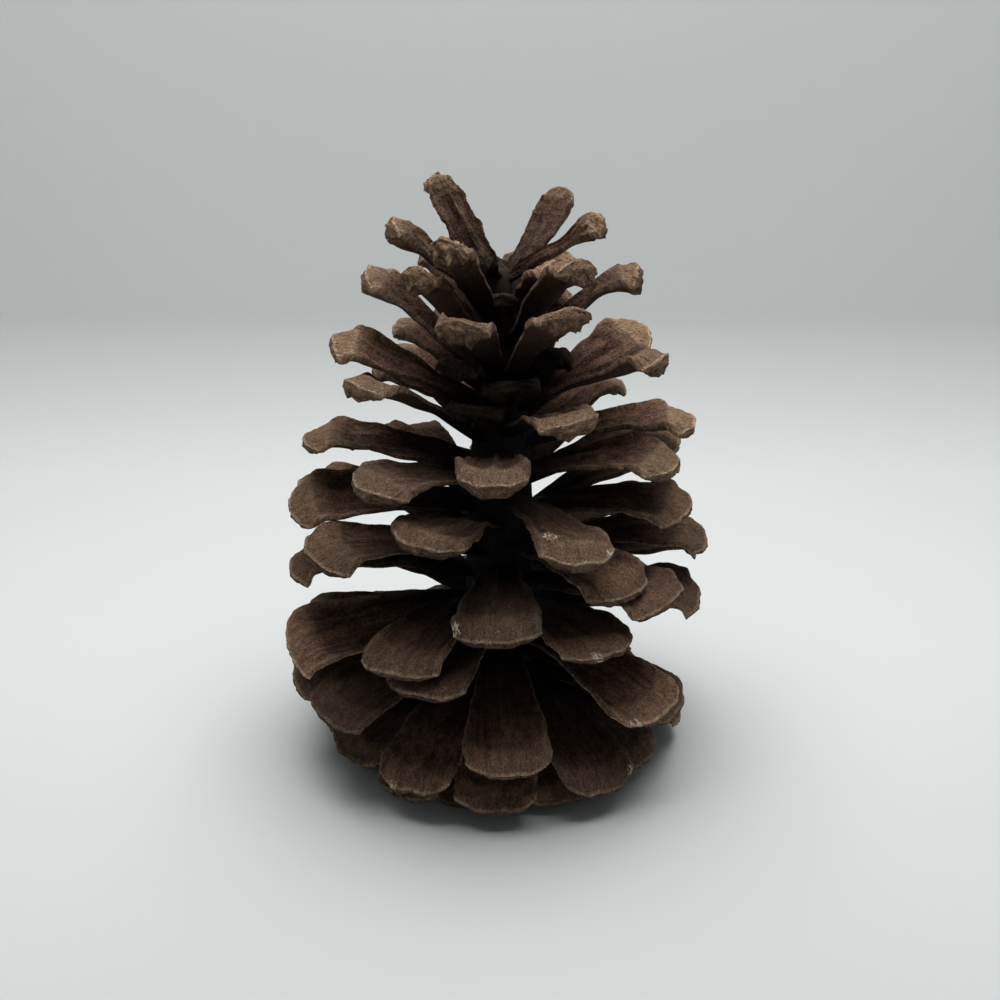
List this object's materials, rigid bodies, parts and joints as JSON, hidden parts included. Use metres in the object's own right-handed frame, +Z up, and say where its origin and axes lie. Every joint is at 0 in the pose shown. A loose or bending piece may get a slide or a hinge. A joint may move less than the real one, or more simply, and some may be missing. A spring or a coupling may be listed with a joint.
{
  "type": "pine cone",
  "caption": "Open, dried pine cone: overlapping woody scales in a spiral round a tapered axis, standing on its base.",
  "frame": {"origin": "centre of the stalk's broken end, on the plane that the cone stands on", "axes": "+Z up the cone's axis to its tip, -Y towards the side that the picture shows, +X to that side's right"},
  "size_m": [0.1085, 0.1099, 0.1473],
  "materials": {
    "cone_wood": "dull dry wood"
  },
  "bodies": {
    "root": {"pine_cone": "cone_wood"}
  },
  "joints": []
}
